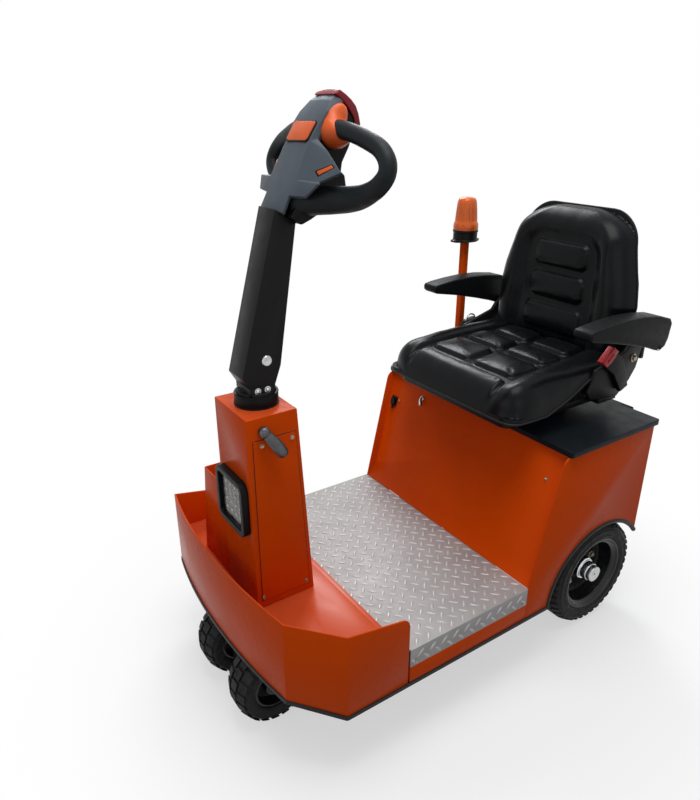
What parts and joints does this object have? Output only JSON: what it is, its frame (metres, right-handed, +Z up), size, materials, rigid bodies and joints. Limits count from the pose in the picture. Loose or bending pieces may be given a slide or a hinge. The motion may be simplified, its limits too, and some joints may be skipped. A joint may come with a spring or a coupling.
{
  "type": "electric tow tractor",
  "caption": "Seated electric tow tractor: folded steel body, tiller on a steering column, steered front wheels, cushioned seat on a hinged lid, warning beacon and rear tow tongue.",
  "frame": {"origin": "on the floor, under the middle of the length and of the body's width", "axes": "+X forward, +Y the vehicle's left, +Z up"},
  "size_m": [1.388, 0.797, 1.5237],
  "materials": {
    "body_paint": "gloss",
    "checker_plate": "embossed",
    "black_plastic": "satin",
    "dark_paint": "satin",
    "steel": "machined",
    "lamp_glass": "clear",
    "battery_case": "moulded",
    "motor_case": "cast",
    "rim_paint": "satin",
    "tyre_rubber": "moulded",
    "head_grey": "textured",
    "signal_red": "gloss",
    "switch_orange": "gloss",
    "grip_rubber": "matt",
    "seat_cover": "grained",
    "arm_foam": "grained",
    "amber_lens": "ribbed"
  },
  "bodies": {
    "chassis": {"chassis_frame": "body_paint", "nose_panel": "body_paint", "nose_deck": "body_paint", "floor_plate": "checker_plate", "steering_column": "body_paint", "column_cover": "body_paint", "storage_bin": "body_paint", "lamp_housing": "black_plastic", "lamp_lens": "lamp_glass", "column_collar": "black_plastic", "clamp_levers": "dark_paint", "key_switch": "steel", "box_side_left": "body_paint", "box_side_right": "body_paint", "box_front": "body_paint", "box_rear": "body_paint", "panel_latches": "black_plastic", "battery": "battery_case", "drive_axle": "steel", "drive_motor": "motor_case", "tow_hitch": "steel", "lid_hinges": "dark_paint"},
    "steering": {"steer_carrier": "steel", "tiller_foot": "dark_paint", "tiller_arm": "dark_paint", "tiller_head": "head_grey", "tiller_core": "black_plastic", "stop_cap": "signal_red", "head_switches": "switch_orange", "thumb_wheels": "switch_orange", "handle_grips": "grip_rubber"},
    "front_wheels": {"front_rims": "rim_paint", "front_tyres": "tyre_rubber"},
    "rear_wheel_left": {"rear_rim_left": "rim_paint", "rear_tyre_left": "tyre_rubber"},
    "rear_wheel_right": {"rear_rim_right": "rim_paint", "rear_tyre_right": "tyre_rubber"},
    "lid": {"seat_lid": "dark_paint", "seat_rails": "dark_paint", "seat_pan": "black_plastic", "seat_cushion": "seat_cover", "backrest_pad": "seat_cover", "backrest_shell": "black_plastic", "seat_brackets": "dark_paint", "armrest_pins": "steel", "belt_buckle": "signal_red", "belt_reel": "black_plastic", "beacon_pole": "body_paint", "beacon_base": "black_plastic", "beacon_lens": "amber_lens"},
    "armrest_left": {"armrest_left": "arm_foam"},
    "armrest_right": {"armrest_right": "arm_foam"}
  },
  "joints": [
    {"name": "steer_turn", "type": "hinge", "parent": "chassis", "child": "steering", "pos_m": [0.53, 0, 0.849], "axis": [0, 0, 1], "range_deg": [-90, 90]},
    {"name": "front_wheels_spin", "type": "hinge", "parent": "steering", "child": "front_wheels", "pos_m": [0.588, 0, 0.106], "axis": [0, 1, 0], "continuous": true},
    {"name": "rear_left_spin", "type": "hinge", "parent": "chassis", "child": "rear_wheel_left", "pos_m": [-0.403, 0.3055, 0.172], "axis": [0, 1, 0], "continuous": true},
    {"name": "rear_right_spin", "type": "hinge", "parent": "chassis", "child": "rear_wheel_right", "pos_m": [-0.403, -0.3055, 0.172], "axis": [0, 1, 0], "continuous": true},
    {"name": "lid_hinge", "type": "hinge", "parent": "chassis", "child": "lid", "pos_m": [-0.547, 0, 0.6673], "axis": [0, -1, 0], "range_deg": [0, 60]},
    {"name": "armrest_left_fold", "type": "hinge", "parent": "lid", "child": "armrest_left", "pos_m": [-0.558, 0.301, 0.8713], "axis": [0, -1, 0], "range_deg": [0, 80]},
    {"name": "armrest_right_fold", "type": "hinge", "parent": "lid", "child": "armrest_right", "pos_m": [-0.558, -0.301, 0.8713], "axis": [0, -1, 0], "range_deg": [0, 80]}
  ]
}
